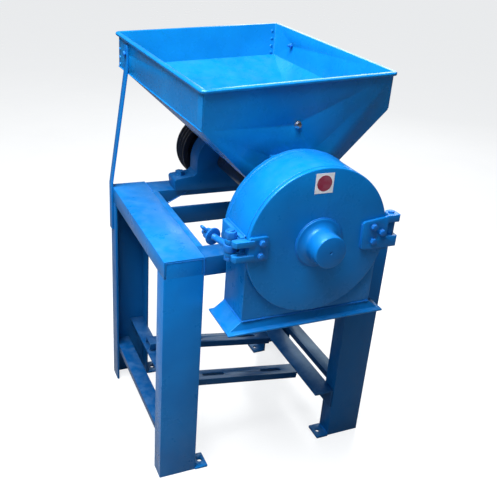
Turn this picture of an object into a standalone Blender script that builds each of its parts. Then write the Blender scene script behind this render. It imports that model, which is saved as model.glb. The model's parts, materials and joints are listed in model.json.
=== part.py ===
"""Hammer mill: an overhung swing-hammer rotor in a drum casing with a hinged door,
fed from an open sheet-metal hopper, on a welded channel-iron frame with a motor seat.

Machine datum, in millimetres: x = 0 on the outer face of the left legs, y = 0 on the
front face of the front legs, z = 0 on the floor. ORIGIN moves that datum so that the
finished machine stands centred on the world origin.
"""

import math

import bmesh
import bpy
from mathutils import Matrix, Vector

MM = 0.001
ORIGIN = (310.0, 213.05, 0.0)

# ---------------------------------------------------------------- frame sizes
FRAME_W = 620.0          # over the outer faces of the two side frames
FRAME_D = 510.0          # over the front and rear leg webs
FRAME_H = 655.0          # floor to the top of the side beams
CHAN_W = 100.0           # channel web
CHAN_F = 50.0            # channel flange
CHAN_TW = 5.0            # web thickness
CHAN_TF = 6.0            # flange thickness
GAP = 0.3                # fit-up gap between separate pieces
FOOT_T = 6.0
FOOT_HOLE_R = 6.0
DOUBLER_T = 16.0
CROSS_FRONT_D = 60.0
CROSS_REAR_Y = 427.0
CROSS_REAR_D = 75.0
MID_BAR_Y = 300.0
OUTER_RAIL = (42.0, 20.0, 4.0)       # width, height, thickness
OUTER_RAIL_Z = 130.0
MOTOR_ANGLE = (60.0, 6.0)            # leg, thickness
MOTOR_ANGLE_LEFT_Z = 196.4
MOTOR_ANGLE_RIGHT_Z = 165.0
MOTOR_RAIL = (45.0, 20.0, 4.0)       # width, height, thickness
MOTOR_RAIL_Y = (115.0, 305.0)

# ---------------------------------------------------------------- casing and rotor
AX = 313.0               # rotor axis, x
AZ = 735.0               # rotor axis, z
DRUM_R = 176.0
DRUM_T = 6.0
BOX_HALF = 170.0
BOX_BOTTOM = 550.0
DOOR_FRONT = -146.0
DOOR_BACK = -134.0
FRONT_PLATE = (-133.4, -127.0)
BACK_PLATE = (-33.0, -27.0)
DRUM_BACK = -14.0
MOUTH_R = 160.0          # round opening that the door covers
WINDOW = (258.0, 368.0, 835.0, 884.0)   # feed window x0, x1, z0, z1
SHAFT_R = 25.0
SHAFT_END_R = 22.0
RUNNING = 0.06
BEARING_CLEARANCE = 0.3
DISC_R = 115.0
HUB_R = 34.0
PIN_CIRCLE = 95.0
PIN_R = 6.0
HAMMER_REACH = 55.0
HAMMER_BACK = 14.0
HAMMER_W = 40.0
HAMMER_Y = (-111.0, -55.0)
SCREEN_R = 158.0
PULLEY_R = 98.0
PULLEY_Y = (507.0, 570.0)
GROOVE_PITCH = 19.0
BLOCK_R = 87.0
BLOCK_FOOT = (160.0, 466.0)
BLOCK_FOOT_TOP = 697.0

# ---------------------------------------------------------------- door furniture
BOSS_R = 38.0
BOSS_BASE_R = 58.0
BOSS_FRONT = -202.5
HINGE = (507.0, -132.0)
HINGE_PIN_R = 6.0
LATCH = (108.0, -122.0)
LATCH_Z = 739.0
SWING_R = 7.5
SWING_ANGLE = math.radians(106.0)

# ---------------------------------------------------------------- hopper
RIM = (55.3, 568.6, 13.7, 614.3)
RIM_TOP = 1067.4
RIM_DEPTH = 8.0
WALL_IN = 9.2
SHEET = 2.5
WALL_BOTTOM = 975.0
TROUGH = (198.0, 405.0, 22.9, 95.0)
TROUGH_Z = 836.0
GATE_BOLT = (303.0, 966.0)
STAY_Y = 513.0           # world station of both stays' top bolts
STAY_TOP_Z = (1022.0, 1042.0)
HOPPER_YAW = 0.0612      # the hopper sits askew: turned about Z,
HOPPER_ROLL = 0.0447     # higher on its right side, per mm of width,
HOPPER_PITCH = 0.0341    # and higher at the rear, per mm of depth

for old in list(bpy.data.objects):
    bpy.data.objects.remove(old, do_unlink=True)

machine = bpy.data.collections.new("hammer_mill")
bpy.context.scene.collection.children.link(machine)
cutters = bpy.data.collections.new("cutters")
cutters.hide_render = True
bpy.context.scene.collection.children.link(cutters)


def material(name, colour, rough, metal):
    mat = bpy.data.materials.new(name)
    mat.use_nodes = True
    shader = mat.node_tree.nodes["Principled BSDF"]
    shader.inputs["Base Color"].default_value = (*colour, 1.0)
    shader.inputs["Roughness"].default_value = rough
    shader.inputs["Metallic"].default_value = metal
    mat.diffuse_color = (*colour, 1.0)
    return mat


BLUE = material("blue_enamel", (0.012, 0.16, 0.55), 0.34, 0.0)
BLUE_LIGHT = material("blue_enamel_hopper", (0.014, 0.2, 0.66), 0.3, 0.0)
BLACK = material("black_iron", (0.012, 0.012, 0.016), 0.42, 0.3)
ZINC = material("zinc_plate", (0.55, 0.57, 0.6), 0.32, 1.0)
STEEL = material("bright_steel", (0.42, 0.43, 0.45), 0.36, 1.0)
TOOL = material("hammer_steel", (0.2, 0.19, 0.18), 0.5, 1.0)


# ---------------------------------------------------------------- shape helpers
def world(x, y, z):
    return Vector(((x - ORIGIN[0]) * MM, (y - ORIGIN[1]) * MM, (z - ORIGIN[2]) * MM))


def skew_matrix():
    """Takes a piece drawn square to the machine to the hopper's own, askew, position."""
    centre = world((RIM[0] + RIM[1]) / 2, (RIM[2] + RIM[3]) / 2, RIM_TOP)
    c, s = math.cos(HOPPER_YAW), math.sin(HOPPER_YAW)
    lean = Matrix(((c, -s, 0, 0), (s, c, 0, 0), (HOPPER_ROLL, HOPPER_PITCH, 1, 0), (0, 0, 0, 1)))
    return Matrix.Translation(centre) @ lean @ Matrix.Translation(-centre)


def skewed(obj):
    obj.data.transform(skew_matrix())
    return obj


def new_object(name, mesh, mat):
    mesh.materials.clear()
    if mat is not None:
        mesh.materials.append(mat)
    obj = bpy.data.objects.new(name, mesh)
    machine.objects.link(obj)
    return obj


def tidy(mesh):
    bm = bmesh.new()
    bm.from_mesh(mesh)
    bmesh.ops.remove_doubles(bm, verts=bm.verts, dist=1e-6)
    bmesh.ops.dissolve_degenerate(bm, edges=bm.edges, dist=1e-6)
    bmesh.ops.recalc_face_normals(bm, faces=bm.faces)
    bm.to_mesh(mesh)
    bm.free()


def bake(obj):
    """Replaces an object's mesh by its evaluated mesh, and drops the modifiers."""
    bpy.context.view_layer.update()
    graph = bpy.context.evaluated_depsgraph_get()
    mesh = bpy.data.meshes.new_from_object(obj.evaluated_get(graph))
    mesh.transform(obj.matrix_world)
    tidy(mesh)
    name = obj.name
    mats = list(obj.data.materials)
    bpy.data.objects.remove(obj, do_unlink=True)
    made = new_object(name, mesh, mats[0] if mats else None)
    return made


def finish(obj, mat, origin=None, smooth=True, angle=32.0):
    """Gives the piece its paint, and moves its own origin to a machine point."""
    obj.data.materials.clear()
    obj.data.materials.append(mat)
    if origin is not None:
        point = world(*origin)
        obj.data.transform(Matrix.Translation(-point))
        obj.location = point
    if smooth:
        obj.data.shade_smooth()
        obj.data.set_sharp_from_angle(angle=math.radians(angle))
    return obj


def circle(cx, cy, radius, count=24, start=0.0):
    return [
        (
            cx + radius * math.cos(start + 2 * math.pi * i / count),
            cy + radius * math.sin(start + 2 * math.pi * i / count),
        )
        for i in range(count)
    ]


def arc(cx, cy, radius, first, last, count):
    """Points along an arc, in degrees, ends included."""
    return [
        (
            cx + radius * math.cos(math.radians(first + (last - first) * i / count)),
            cy + radius * math.sin(math.radians(first + (last - first) * i / count)),
        )
        for i in range(count + 1)
    ]


def rounded(x0, x1, y0, y1, r, count=3):
    """Rectangle with rounded corners, anticlockwise."""
    return (
        arc(x1 - r, y1 - r, r, 0, 90, count)
        + arc(x0 + r, y1 - r, r, 90, 180, count)
        + arc(x0 + r, y0 + r, r, 180, 270, count)
        + arc(x1 - r, y0 + r, r, 270, 360, count)
    )


def prism(name, outline, axis, low, high, holes=()):
    """A flat outline with holes, extruded square to its plane.
    The outline is (x, y) for axis Z, (x, z) for axis Y and (y, z) for axis X."""
    curve = bpy.data.curves.new(name, "CURVE")
    curve.dimensions = "2D"
    curve.fill_mode = "BOTH"
    curve.extrude = (high - low) * 0.5 * MM
    for ring in (outline, *holes):
        spline = curve.splines.new("POLY")
        spline.points.add(len(ring) - 1)
        for point, (a, b) in zip(spline.points, ring):
            point.co = (a * MM, b * MM, 0.0, 1.0)
        spline.use_cyclic_u = True
    obj = bpy.data.objects.new(name, curve)
    machine.objects.link(obj)
    middle = (low + high) * 0.5 * MM
    base = Vector((-ORIGIN[0] * MM, -ORIGIN[1] * MM, -ORIGIN[2] * MM))
    if axis == "Z":
        turn = Matrix.Identity(4)
        base.z += middle
    elif axis == "Y":
        turn = Matrix.Rotation(math.radians(90), 4, "X")
        base.y += middle
    else:
        turn = Matrix.Rotation(math.radians(90), 4, "Z") @ Matrix.Rotation(
            math.radians(90), 4, "X"
        )
        base.x += middle
    obj.matrix_world = Matrix.Translation(base) @ turn
    return bake(obj)


def box(name, x0, x1, y0, y1, z0, z1):
    bpy.ops.mesh.primitive_cube_add(size=1.0)
    obj = bpy.context.object
    obj.name = name
    centre = world((x0 + x1) / 2, (y0 + y1) / 2, (z0 + z1) / 2)
    obj.data.transform(
        Matrix.Translation(centre)
        @ Matrix.Diagonal(((x1 - x0) * MM, (y1 - y0) * MM, (z1 - z0) * MM, 1.0))
    )
    for coll in list(obj.users_collection):
        coll.objects.unlink(obj)
    machine.objects.link(obj)
    return obj


AXES = {
    "X": Matrix.Rotation(math.radians(90), 4, "Y"),
    "Y": Matrix.Rotation(math.radians(-90), 4, "X"),
    "Z": Matrix.Identity(4),
}


def rod(name, radius, axis, centre, low, high, count=24, turn=0.0):
    """A cylinder, or a hexagon with count 6, along a machine axis between two stations."""
    bm = bmesh.new()
    bmesh.ops.create_cone(
        bm, cap_ends=True, segments=count, radius1=radius * MM, radius2=radius * MM,
        depth=(high - low) * MM, matrix=Matrix.Rotation(turn, 4, "Z"),
    )
    mesh = bpy.data.meshes.new(name)
    bm.to_mesh(mesh)
    bm.free()
    point = list(centre)
    point["XYZ".index(axis)] = (low + high) / 2
    mesh.transform(Matrix.Translation(world(*point)) @ AXES[axis])
    return new_object(name, mesh, None)


def turned(name, profile, axis, centre, steps=48):
    """A profile of (radius, station) points swept round a machine axis by a Screw modifier."""
    mesh = bpy.data.meshes.new(name)
    count = len(profile)
    closed = profile[0][0] > 1e-6 or profile[-1][0] > 1e-6
    edges = [(i, i + 1) for i in range(count - 1)]
    if closed:
        edges.append((count - 1, 0))
    mesh.from_pydata([(r * MM, 0.0, s * MM) for r, s in profile], edges, [])
    obj = new_object(name, mesh, None)
    screw = obj.modifiers.new("turn", "SCREW")
    screw.axis = "Z"
    screw.angle = 2 * math.pi
    screw.steps = steps
    screw.render_steps = steps
    screw.use_merge_vertices = True
    screw.merge_threshold = 1e-6
    screw.use_smooth_shade = False
    point = list(centre)
    point["XYZ".index(axis)] = 0.0
    obj.matrix_world = Matrix.Translation(world(*point)) @ AXES[axis]
    return bake(obj)


def loft(name, rings, cap_first=False, cap_last=False, ring_closed=False):
    """Skins a run of equal-count loops of machine points."""
    bm = bmesh.new()
    made = [[bm.verts.new(world(*p)) for p in ring] for ring in rings]
    pairs = list(zip(made, made[1:]))
    if ring_closed:
        pairs.append((made[-1], made[0]))
    for one, two in pairs:
        count = len(one)
        for i in range(count):
            j = (i + 1) % count
            bm.faces.new((one[i], one[j], two[j], two[i]))
    if cap_first:
        bm.faces.new(made[0])
    if cap_last:
        bm.faces.new(made[-1])
    bmesh.ops.recalc_face_normals(bm, faces=bm.faces)
    mesh = bpy.data.meshes.new(name)
    bm.to_mesh(mesh)
    bm.free()
    return new_object(name, mesh, None)


def boolean(obj, tool, operation):
    mod = obj.modifiers.new("shape", "BOOLEAN")
    mod.operation = operation
    mod.solver = "EXACT"
    mod.object = tool
    made = bake(obj)
    bpy.data.objects.remove(tool, do_unlink=True)
    return made


def cut(obj, *tools):
    for tool in tools:
        obj = boolean(obj, tool, "DIFFERENCE")
    return obj


def fuse(obj, *tools):
    for tool in tools:
        obj = boolean(obj, tool, "UNION")
    return obj


def channel(width, height, thick, flange_thick=None):
    """Channel outline with its web on top: corners from the lower left, web along the first axis."""
    side = flange_thick or thick
    return [
        (0, 0), (side, 0), (side, height - thick), (width - side, height - thick),
        (width - side, 0), (width, 0), (width, height), (0, height),
    ]


def shifted(points, dx, dy, flip=False):
    moved = [((-a if flip else a) + dx, b + dy) for a, b in points]
    return moved[::-1] if flip else moved


# ---------------------------------------------------------------- side frames
def leg(name, x0, front):
    """Channel leg: web outward, flanges towards the middle of the machine.
    Its web runs up between the beam's flanges, and its flanges stop under them."""
    web = FRAME_H - CHAN_TW - GAP
    under = FRAME_H - CHAN_F + 5.0
    sign = 1.0 if front else -1.0
    y0 = 0.0 if front else FRAME_D
    lines = [
        (0, 0), (CHAN_W, 0), (CHAN_W, CHAN_F), (CHAN_W - CHAN_TF, CHAN_F),
        (CHAN_W - CHAN_TF, CHAN_TW), (CHAN_TF, CHAN_TW), (CHAN_TF, CHAN_F), (0, CHAN_F),
    ]
    outline = [(x0 + a, y0 + sign * b) for a, b in lines]
    body = prism(name, outline, "Z", 0.0, web)
    ys = sorted((y0 - sign * 2, y0 + sign * (CHAN_F + 2)))
    reach = CHAN_TF + GAP
    body = cut(
        body,
        box("c1", x0 - 2, x0 + reach, *ys, under - GAP, FRAME_H + 5),
        box("c2", x0 + CHAN_W - reach, x0 + CHAN_W + 2, *ys, under - GAP, FRAME_H + 5),
    )
    return finish(body, BLUE, smooth=False)


def beam(name, x0):
    drop = CHAN_F - 5.0
    outline = shifted(channel(CHAN_W, drop, CHAN_TW, CHAN_TF), x0, FRAME_H - drop)
    return finish(prism(name, outline, "Y", 0.0, FRAME_D), BLUE, smooth=False)


RIGHT = FRAME_W - CHAN_W
for side, x0 in (("left", 0.0), ("right", RIGHT)):
    leg(f"{side}_front_leg", x0, True)
    leg(f"{side}_rear_leg", x0, False)
    beam(f"{side}_beam", x0)


def foot(name, inner_x, sign, y0, y1):
    """Floor plate on the inboard side of a leg, with one anchor-bolt hole."""
    xs = sorted((inner_x + sign * GAP, inner_x + sign * 37.0))
    hole = circle(inner_x + sign * 22.0, (y0 + y1) / 2, FOOT_HOLE_R, 24)
    plate = prism(name, rounded(*xs, y0, y1, 2.0, 2), "Z", 0.0, FOOT_T, (hole,))
    return finish(plate, BLUE)


foot("left_front_foot", CHAN_W, 1, -3.0, 51.0)
foot("left_rear_foot", CHAN_W, 1, FRAME_D - 51.0, FRAME_D + 3.0)
foot("right_front_foot", RIGHT, -1, -3.0, 51.0)
foot("right_rear_foot", RIGHT, -1, FRAME_D - 51.0, FRAME_D + 3.0)

# ---------------------------------------------------------------- cross members
BEAM_LOW = FRAME_H - CHAN_F
IN_L = CHAN_W + GAP
IN_R = RIGHT - GAP
finish(
    prism(
        "front_cross_member",
        shifted(channel(CROSS_FRONT_D, CHAN_F, 5.0), 0.0, BEAM_LOW),
        "X", IN_L, IN_R,
    ),
    BLUE, smooth=False,
)
for side, x0, x1 in (
    ("left", IN_L, CHAN_W + DOUBLER_T),
    ("right", RIGHT - DOUBLER_T, IN_R),
):
    finish(
        box(f"{side}_beam_doubler", x0, x1, CROSS_FRONT_D + GAP, CROSS_REAR_Y - GAP, BEAM_LOW, FRAME_H),
        BLUE, smooth=False,
    )
finish(
    box(
        "middle_cross_bar", CHAN_W + DOUBLER_T + GAP, RIGHT - DOUBLER_T - GAP,
        MID_BAR_Y, MID_BAR_Y + 8.0, BEAM_LOW, FRAME_H,
    ),
    BLUE, smooth=False,
)
rear_far = CROSS_REAR_Y + CROSS_REAR_D
rear_cross = prism(
    "rear_cross_member",
    [
        (CROSS_REAR_Y, FRAME_H - 8), (rear_far - 8, FRAME_H - 8), (rear_far - 8, BEAM_LOW),
        (rear_far, BEAM_LOW), (rear_far, FRAME_H), (CROSS_REAR_Y, FRAME_H),
    ],
    "X", IN_L, IN_R,
)
gusset = [(0, FRAME_H - 4), (0, FRAME_H - 64), (104, FRAME_H - 8), (104, FRAME_H - 4)]
rear_cross = fuse(
    rear_cross,
    prism("g1", [(IN_L + a, b) for a, b in gusset], "Y", CROSS_REAR_Y, CROSS_REAR_Y + 8),
    prism("g2", [(IN_R - a, b) for a, b in gusset], "Y", CROSS_REAR_Y, CROSS_REAR_Y + 8),
)
finish(rear_cross, BLUE, smooth=False)

# ---------------------------------------------------------------- side rails and motor seat
rail_w, rail_h, rail_t = OUTER_RAIL
for side, x0 in (
    ("left", CHAN_TF + GAP),
    ("right", FRAME_W - CHAN_TF - GAP - rail_w),
):
    finish(
        prism(
            f"{side}_outer_rail",
            shifted(channel(rail_w, rail_h, rail_t), x0, OUTER_RAIL_Z - rail_h),
            "Y", CHAN_TW + GAP, FRAME_D - CHAN_TW - GAP,
        ),
        BLUE, smooth=False,
    )
angle_leg, angle_t = MOTOR_ANGLE
angle_lines = [
    (0, -angle_leg), (angle_t, -angle_leg), (angle_t, -angle_t),
    (angle_leg, -angle_t), (angle_leg, 0), (0, 0),
]
finish(
    prism(
        "left_motor_angle",
        shifted([(a * 2 / 3 if a > angle_t else a, b) for a, b in angle_lines],
                CHAN_W - CHAN_TF - GAP, MOTOR_ANGLE_LEFT_Z, flip=True),
        "Y", CHAN_TW + GAP, FRAME_D - CHAN_TW - GAP,
    ),
    BLUE, smooth=False,
)
finish(
    prism(
        "right_motor_angle", shifted(angle_lines, IN_R, MOTOR_ANGLE_RIGHT_Z, flip=True),
        "Y", 2.0, FRAME_D - 2,
    ),
    BLUE, smooth=False,
)
mr_w, mr_h, mr_t = MOTOR_RAIL
seat_l = Vector((CHAN_W - 38.0, 0.0, MOTOR_ANGLE_LEFT_Z + 25.4))
seat_r = Vector((IN_R - angle_leg - 0.5, 0.0, MOTOR_ANGLE_RIGHT_Z - 0.8))
seat_run = seat_r - seat_l
SEAT_TILT = math.atan2(-seat_run.z, seat_run.x)
for name, y0 in zip(("front_motor_rail", "rear_motor_rail"), MOTOR_RAIL_Y):
    length = seat_run.length
    rail = prism(
        name,
        shifted(channel(mr_w, mr_h, mr_t), y0, -mr_h),
        "X", 0.0, length,
    )
    slots = [
        prism(
            "slot",
            arc(mid + 28, y0 + mr_w / 2, 5.5, -90, 90, 8)
            + arc(mid - 28, y0 + mr_w / 2, 5.5, 90, 270, 8),
            "Z", -mr_t - 3, 3.0,
        )
        for mid in (length * 0.34, length * 0.8)
    ]
    rail = cut(rail, *slots)
    pivot = world(0, 0, 0)
    rail.data.transform(
        Matrix.Translation(Vector((seat_l.x * MM, 0, seat_l.z * MM)) + pivot)
        @ Matrix.Rotation(SEAT_TILT, 4, "Y")
        @ Matrix.Translation(-pivot)
    )
    finish(rail, BLUE)

# ---------------------------------------------------------------- casing
meet = math.degrees(math.acos(BOX_HALF / DRUM_R))
inner_half = BOX_HALF - DRUM_T
inner_r = DRUM_R - DRUM_T
inner_meet = math.degrees(math.acos(inner_half / inner_r))
outer_path = (
    [(AX + BOX_HALF, BOX_BOTTOM)]
    + arc(AX, AZ, DRUM_R, -meet, 180 + meet, 60)
    + [(AX - BOX_HALF, BOX_BOTTOM)]
)
inner_path = (
    [(AX - inner_half, BOX_BOTTOM)]
    + arc(AX, AZ, inner_r, 180 + inner_meet, -inner_meet, 60)
    + [(AX + inner_half, BOX_BOTTOM)]
)
shell = prism("casing_shell", outer_path + inner_path, "Y", FRONT_PLATE[1] - 1.0, BACK_PLATE[0] - GAP)
front = prism(
    "front_plate", outer_path, "Y", *FRONT_PLATE, (circle(AX, AZ, MOUTH_R, 64),)
)
ledge_z = AZ - SCREEN_R * math.sin(math.radians(17)) - 3.0
ledges = [
    box("ledge", *sorted((AX + s * (inner_half + 2), AX + s * (SCREEN_R - 3))),
        FRONT_PLATE[1] - 1.0, BACK_PLATE[0] - GAP, ledge_z - 6, ledge_z)
    for s in (-1, 1)
]
shell = fuse(shell, front, *ledges)
finish(shell, BLUE, (AX, -80.0, AZ), angle=25)

wx0, wx1, wz0, wz1 = WINDOW
window = [(wx0, wz0), (wx1, wz0), (wx1, wz1), (wx0, wz1)]
duct = [(wx0 - 4, wz0 - 4), (wx1 + 4, wz0 - 4), (wx1 + 4, wz1 + 4), (wx0 - 4, wz1 + 4)]
back = prism("casing_back_plate", outer_path, "Y", *BACK_PLATE)
drum_back = prism("drum_back", circle(AX, AZ, DRUM_R - 0.5, 72), "Y", BACK_PLATE[1] - 1.0, DRUM_BACK)
throat = prism("throat", duct, "Y", DRUM_BACK - 1.0, 60.0)
throat = cut(throat, skewed(box("w", RIM[0], RIM[1], RIM[2] + WALL_IN - GAP, 200.0, 700.0, 1000.0)))
pads = [
    box("pad", x - 22, x + 22, DRUM_BACK - 1.0, -GAP, BEAM_LOW + 8, FRAME_H - 6)
    for x in (AX - 92, AX + 92)
]
back = fuse(back, drum_back, throat, *pads)
back = cut(
    back,
    prism("window", window, "Y", BACK_PLATE[0] - 5.0, 70.0),
    prism("bore", circle(AX, AZ, SHAFT_R + 4.0, 32), "Y", BACK_PLATE[0] - 5.0, 10.0),
)
finish(back, BLUE, (AX, -20.0, AZ), angle=25)


def ring(x0, x1, y0, y1, z):
    return [(x0, y0, z), (x1, y0, z), (x1, y1, z), (x0, y1, z)]


fl, fr = AX - BOX_HALF, AX + BOX_HALF
fy0, fy1 = FRONT_PLATE[0], BACK_PLATE[1]
skirt = loft(
    "discharge_skirt",
    [
        ring(fl, fr, fy0, fy1, BOX_BOTTOM - GAP),
        ring(fl - 28, fr + 28, fy0 - 1, fy1 + 1, 527.0),
        ring(fl - 36, fr + 36, fy0 - 15, fy1 + 5, 527.0),
        ring(fl - 36, fr + 36, fy0 - 15, fy1 + 5, 522.0),
        ring(fl - 22, fr + 22, fy0 + 5, fy1 - 5, 522.0),
        ring(fl + 5, fr - 5, fy0 + 5, fy1 - 5, BOX_BOTTOM - GAP),
    ],
    ring_closed=True,
)
finish(skirt, BLUE, smooth=False)

screen = prism(
    "sizing_screen",
    arc(AX, AZ, SCREEN_R + 3.0, 197, 343, 40) + arc(AX, AZ, SCREEN_R, 343, 197, 40),
    "Y", FRONT_PLATE[1] + 1.0, BACK_PLATE[0] - 1.0,
)
slot_bm = bmesh.new()
for k in range(17):
    a = math.radians(206 + 8 * k)
    bmesh.ops.create_cube(
        slot_bm, size=1.0,
        matrix=Matrix.Translation(
            world(AX + (SCREEN_R + 1.5) * math.cos(a), -80.0, AZ + (SCREEN_R + 1.5) * math.sin(a))
        )
        @ Matrix.Rotation(-a, 4, "Y")
        @ Matrix.Diagonal((12 * MM, 74 * MM, 5 * MM, 1.0)),
    )
slot_mesh = bpy.data.meshes.new("slots")
slot_bm.to_mesh(slot_mesh)
slot_bm.free()
screen = cut(screen, new_object("slots", slot_mesh, None))
for s in (-1, 1):
    lip = box("lip", *sorted((AX + s * 161.5, AX + s * 151.6)), FRONT_PLATE[1] + 1.0, BACK_PLATE[0] - 1.0,
              ledge_z + GAP, ledge_z + 4.3)
    screen = fuse(screen, lip)
finish(screen, STEEL, (AX, -76.0, AZ), angle=25)

# ---------------------------------------------------------------- door
LATCH_BOLTS = ((169.0, 754.0), (167.0, 724.0))
HINGE_BOLTS = ((450.0, 760.0), (474.0, 744.0), (453.0, 724.0))
bolt_holes = tuple(circle(x, z, 4.2, 12) for x, z in LATCH_BOLTS + HINGE_BOLTS)
door_pivot = (*HINGE, AZ)
door = prism(
    "door_plate", circle(AX, AZ, DRUM_R, 72), "Y", DOOR_FRONT, DOOR_BACK,
    (circle(AX, AZ, 30.0, 24), *bolt_holes),
)
finish(door, BLUE, door_pivot)

flare = [
    (BOSS_BASE_R - 18 * math.sin(math.radians(a)), DOOR_FRONT - 4 - 18 * (1 - math.cos(math.radians(a))))
    for a in (0, 30, 60, 90)
]
boss = turned(
    "door_boss",
    [
        (0.0, BOSS_FRONT + 3.0), (3.0, BOSS_FRONT), (BOSS_R - 2, BOSS_FRONT), (BOSS_R, BOSS_FRONT + 2),
    ]
    + [(r - 2.0, s) for r, s in flare[::-1]]
    + [
        (BOSS_BASE_R, DOOR_FRONT - 2.5), (BOSS_BASE_R, DOOR_FRONT - GAP),
        (28.0, DOOR_FRONT - GAP), (28.0, BOSS_FRONT + 22), (0.0, BOSS_FRONT + 22),
    ],
    "Y", (AX, 0, AZ), 32,
)
finish(boss, BLUE, door_pivot, angle=40)


def bolt(name, x, z, base, washer_r=8.6, hex_r=7.6, head=5.6, shank=4.0, length=17.0, origin=None, mat=BLUE):
    """Hex-head setscrew driven along +Y: washer on the face at base, head in front of it."""
    body = rod(name, washer_r, "Y", (x, 0, z), base - 1.8, base - GAP, 16)
    body = fuse(
        body,
        rod("head", hex_r, "Y", (x, 0, z), base - 1.8 - head, base - 1.5, 6, 0.3),
        rod("shank", shank, "Y", (x, 0, z), base - 2.0, base + length, 12),
    )
    return finish(body, mat, origin)


BRACKET_BACK = DOOR_FRONT - GAP
BRACKET_FRONT = BRACKET_BACK - 7.0
hx, hy = HINGE
lug_hole = circle(hx, hy, HINGE_PIN_R + 0.15, 24)


def hinge_lug(z0, z1):
    outline = (
        [(487.0, BRACKET_FRONT), (hx + 11, BRACKET_FRONT), (hx + 14, BRACKET_FRONT + 3)]
        + arc(hx, hy, 14.0, 0, 180, 10)
        + [(492.9, BRACKET_BACK), (487.0, BRACKET_BACK)]
    )
    return prism("lug", outline, "Z", z0, z1, (lug_hole,))


hinge_bracket = prism(
    "hinge_bracket",
    [(424, 708), (429, 704), (489, 704), (489, 782), (425, 774), (421, 770)],
    "Y", BRACKET_FRONT, BRACKET_BACK,
    tuple(circle(x, z, 4.2, 12) for x, z in HINGE_BOLTS),
)
hinge_bracket = fuse(hinge_bracket, hinge_lug(766.0, 783.0), hinge_lug(704.0, 730.0))
finish(hinge_bracket, BLUE, door_pivot)
for i, (x, z) in enumerate(HINGE_BOLTS, 1):
    bolt(f"hinge_bolt_{i}", x, z, BRACKET_FRONT, origin=door_pivot)

latch_bracket = prism(
    "latch_bracket",
    rounded(138.0, 184.0, 711.0, 768.0, 6.0, 4), "Y", BRACKET_FRONT, BRACKET_BACK,
    tuple(circle(x, z, 4.2, 12) for x, z in LATCH_BOLTS),
)


def fork_lug(z0, z1):
    outline = [
        (108, -156.5), (150, -156.5), (150, BRACKET_BACK), (135.5, BRACKET_BACK),
        (135.5, -137.5), (106, -137.5), (102, -141), (102, -150.5),
    ]
    return prism("fork", outline, "Z", z0, z1)


latch_bracket = fuse(latch_bracket, fork_lug(749.5, 762.5), fork_lug(715.5, 728.5))
finish(latch_bracket, BLUE, door_pivot)
for i, (x, z) in enumerate(LATCH_BOLTS, 1):
    bolt(f"latch_bolt_{i}", x, z, BRACKET_FRONT, origin=door_pivot)

# ---------------------------------------------------------------- hinge on the casing
knuckle = prism(
    "casing_hinge_knuckle",
    [(489.5, -131.0), (hx - 12.9, -131.0)] + arc(hx, hy, 12.9, 180, 450, 14) + [(489.5, -119.0)],
    "Z", 730.8, 765.2, (circle(hx, hy, HINGE_PIN_R + 0.15, 24),),
)
finish(knuckle, BLUE)
pin = rod("hinge_pin", HINGE_PIN_R, "Z", (hx, hy, 0), 700.0, 784.5, 24)
pin = fuse(pin, rod("head", 8.0, "Z", (hx, hy, 0), 783.4, 786.0, 24))
finish(pin, STEEL)

# ---------------------------------------------------------------- latch on the casing
lx, ly = LATCH
pivot_hole = circle(lx, ly, 8.15, 24)


def ear(z0, z1):
    outline = (
        [(127.0, ly + 12.0)] + arc(lx, ly, 13.0, 80, 280, 14) + [(127.0, ly - 12.8)]
    )
    return prism("ear", outline, "Z", z0, z1, (pivot_hole,))


latch_lug = box("casing_latch_lug", 125.0, 136.5, -134.8, -30.0, 716.0, 764.0)
latch_lug = fuse(latch_lug, ear(LATCH_Z + 9.0, LATCH_Z + 20.0), ear(LATCH_Z - 20.0, LATCH_Z - 9.0))
finish(latch_lug, BLUE)
pivot_bolt = rod("latch_pivot_bolt", 7.9, "Z", (lx, ly, 0), LATCH_Z - 24, LATCH_Z + 42, 24)
pivot_bolt = fuse(
    pivot_bolt,
    rod("nut", 13.5, "Z", (lx, ly, 0), LATCH_Z + 20.4, LATCH_Z + 38, 6, 0.2),
    rod("head", 13.5, "Z", (lx, ly, 0), LATCH_Z - 30, LATCH_Z - 20.4, 6, 0.5),
)
finish(pivot_bolt, BLUE)

swing_u = Vector((math.cos(SWING_ANGLE), math.sin(SWING_ANGLE), 0.0))
swing_place = Matrix.Translation(world(lx, ly, LATCH_Z)) @ Matrix.Rotation(SWING_ANGLE, 4, "Z")


def local(obj):
    """Takes a piece modelled round the machine datum with its rod along +x to the latch pivot."""
    obj.data.transform(Matrix.Translation(-world(0, 0, 0)))
    return obj


eye = rod("swing_bolt", 15.0, "Z", (0, 0, 0), -8.0, 8.0, 32)
eye = fuse(eye, rod("thread", SWING_R, "X", (0, 0, 0), 10.0, 94.0, 24))
eye = cut(eye, rod("bore", 8.15, "Z", (0, 0, 0), -12.0, 12.0, 24))
eye = local(eye)
finish(eye, BLUE)
eye.matrix_world = swing_place

washer = prism(
    "clamp_washer", circle(0, 0, 20.0, 32), "X", 59.5, 63.5, (circle(0, 0, SWING_R + 0.3, 24),)
)
washer = local(washer)
finish(washer, BLUE)
washer.matrix_world = swing_place

wing_lines = [(66.0, 8.0), (70.0, 24.0), (76.0, 31.0), (85.0, 30.0), (88.0, 20.0), (84.0, 8.0)]
nut = turned("wing_nut", [(SWING_R + 0.3, 63.8), (15.0, 63.8), (15.0, 68.0), (12.5, 84.0), (SWING_R + 0.3, 84.0)],
             "X", (0, 0, 0), 24)
nut = fuse(
    nut,
    prism("wing", wing_lines, "Y", -3.5, 3.5),
    prism("wing", [(a, -b) for a, b in wing_lines], "Y", -3.5, 3.5),
)
nut = cut(nut, rod("bore", SWING_R + 0.3, "X", (0, 0, 0), 60.0, 90.0, 24))
nut = local(nut)
nut.data.transform(Matrix.Rotation(math.radians(-40), 4, "X"))
finish(nut, BLUE)
nut.matrix_world = swing_place

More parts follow.
